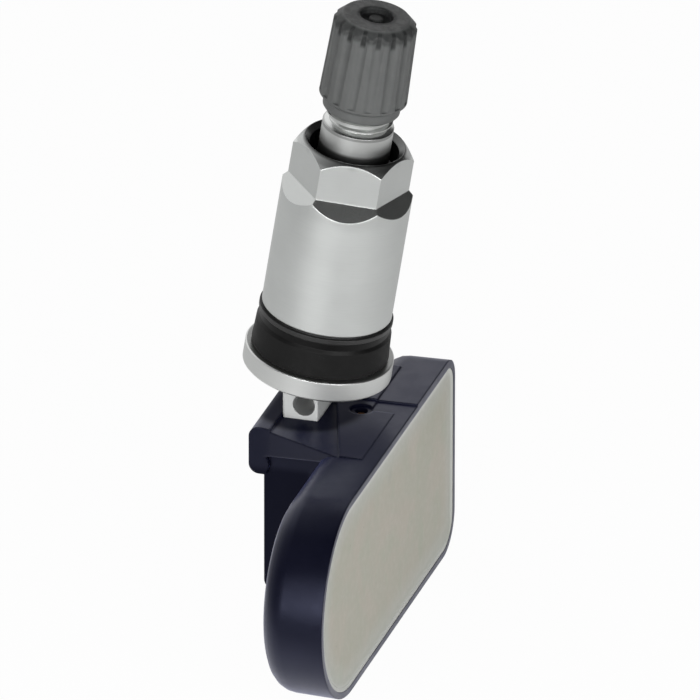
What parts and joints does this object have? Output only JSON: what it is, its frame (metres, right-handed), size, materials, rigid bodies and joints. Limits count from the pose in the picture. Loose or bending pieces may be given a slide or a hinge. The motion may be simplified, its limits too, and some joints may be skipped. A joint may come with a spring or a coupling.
{
  "type": "tyre pressure sensor",
  "caption": "Wheel-mounted tyre pressure sensor: potted plastic housing on a clamp-in metal valve with rubber seat, sleeve nut and screw-on dust cap.",
  "frame": {"origin": "where the valve axis crosses the top face of the flange, the plane that clamps the rubber seat to the rim", "axes": "+Z along the valve axis towards the cap; -Y towards the rounded end of the housing; +X is the side of the potted face, which leans 9 degrees off the valve axis"},
  "size_m": [0.0239, 0.0525, 0.0726],
  "materials": {
    "cap_plastic": "matt grey moulded nylon, lightly sparked",
    "black_rubber": "matt black moulded rubber",
    "red_seal": "matt red sealing sleeve",
    "core_brass": "turned brass",
    "spring_steel": "drawn spring wire",
    "valve_alloy": "fine blasted and clear anodised",
    "ring_plastic": "matt black moulded plastic",
    "housing_plastic": "matt dark blue-black moulded plastic",
    "potting_resin": "cast resin, satin, pale grey-beige",
    "board_laminate": "green solder mask",
    "cell_steel": "nickel-plated can",
    "nickel_strip": "plain nickel strip",
    "sensor_ceramic": "moulded sensor package",
    "port_silicone": "soft silicone",
    "chip_epoxy": "moulded chip package",
    "crystal_can": "drawn metal can",
    "capacitor_ceramic": "fired ceramic",
    "ferrite": "dull sintered ferrite",
    "enamelled_copper": "enamelled copper wire",
    "tinned_wire": "tinned copper wire",
    "screw_steel": "zinc-plated screw"
  },
  "bodies": {
    "sensor": {"valve_stem": "valve_alloy", "core_body": "core_brass", "core_gasket": "red_seal", "core_spring": "spring_steel", "grommet": "black_rubber", "housing": "housing_plastic", "potting": "potting_resin", "circuit_board": "board_laminate", "battery": "cell_steel", "battery_tab_plus": "nickel_strip", "battery_tab_minus": "nickel_strip", "pressure_sensor": "sensor_ceramic", "port_gasket": "port_silicone", "control_chip": "chip_epoxy", "crystal": "crystal_can", "capacitors": "capacitor_ceramic", "ferrite_core": "ferrite", "coil_winding": "enamelled_copper", "antenna": "tinned_wire", "foot_screw": "screw_steel"},
    "seal": {"cap_seal": "black_rubber"},
    "cap": {"valve_cap": "cap_plastic"},
    "ring": {"slide_ring": "ring_plastic"},
    "nut": {"sleeve_nut": "valve_alloy"},
    "pin": {"core_pin": "core_brass", "core_plunger": "black_rubber"}
  },
  "joints": [
    {"name": "cap_lift", "type": "slide", "parent": "sensor", "child": "seal", "axis": [0, 0, 1], "range_m": [0, 0.0095]},
    {"name": "cap_turn", "type": "hinge", "parent": "seal", "child": "cap", "pos_m": [0, 0, 0.036], "axis": [0, 0, 1], "range_deg": [0, 4320]},
    {"name": "nut_lift", "type": "slide", "parent": "sensor", "child": "ring", "axis": [0, 0, 1], "range_m": [0, 0.0037]},
    {"name": "nut_turn", "type": "hinge", "parent": "ring", "child": "nut", "pos_m": [0, 0, 0.015], "axis": [0, 0, 1], "range_deg": [0, 1800]},
    {"name": "core_press", "type": "slide", "parent": "sensor", "child": "pin", "axis": [0, 0, -1], "range_m": [0, 0.001], "stiffness_N_per_m": 400, "deforming": ["core_spring"]}
  ],
  "couplings": [
    {"joint": "cap_turn", "follows": "cap_lift", "rad_per_m": 7913.3},
    {"joint": "nut_turn", "follows": "nut_lift", "rad_per_m": 8377.6}
  ]
}
